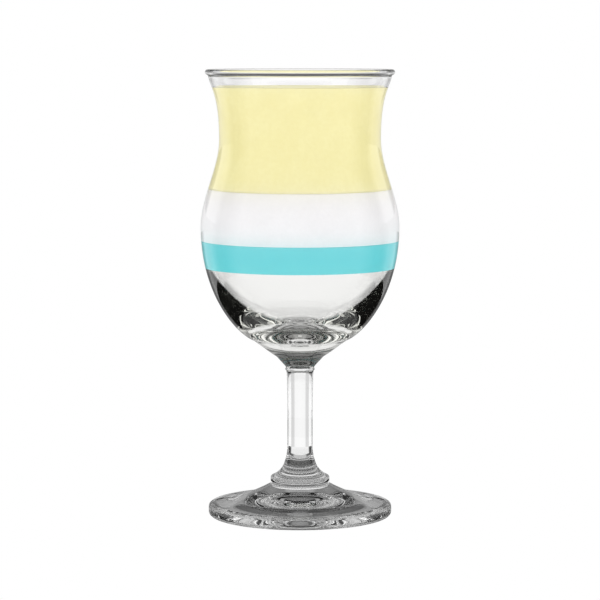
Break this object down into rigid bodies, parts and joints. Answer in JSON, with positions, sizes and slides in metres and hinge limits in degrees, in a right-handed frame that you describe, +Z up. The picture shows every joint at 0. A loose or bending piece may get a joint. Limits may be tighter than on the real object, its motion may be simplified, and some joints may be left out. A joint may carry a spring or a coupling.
{
  "type": "blue hawaiian cocktail",
  "caption": "Stemmed hurricane glass filled with an unstirred cocktail in level layers: clear rum, blue liqueur, white coconut cream and yellow pineapple juice.",
  "frame": {"origin": "on the axis, on the plane that the foot's rest ring stands on", "axes": "+Z up along the glass's axis of symmetry"},
  "size_m": [0.0798, 0.0798, 0.1799],
  "materials": {
    "clear_glass": "clear soda-lime glass, fire-polished, with a rolled rim",
    "white_rum": "clear colourless spirit, a drink and not glass",
    "blue_curacao": "turquoise liqueur, a drink and not plastic",
    "coconut_cream": "opaque white coconut cream, a drink and not plastic",
    "pineapple_juice": "cloudy pale yellow juice, a drink and not plastic"
  },
  "bodies": {
    "root": {"glass": "clear_glass", "white_rum_layer": "white_rum", "blue_curacao_layer": "blue_curacao", "coconut_cream_layer": "coconut_cream", "pineapple_juice_layer": "pineapple_juice"}
  },
  "joints": []
}
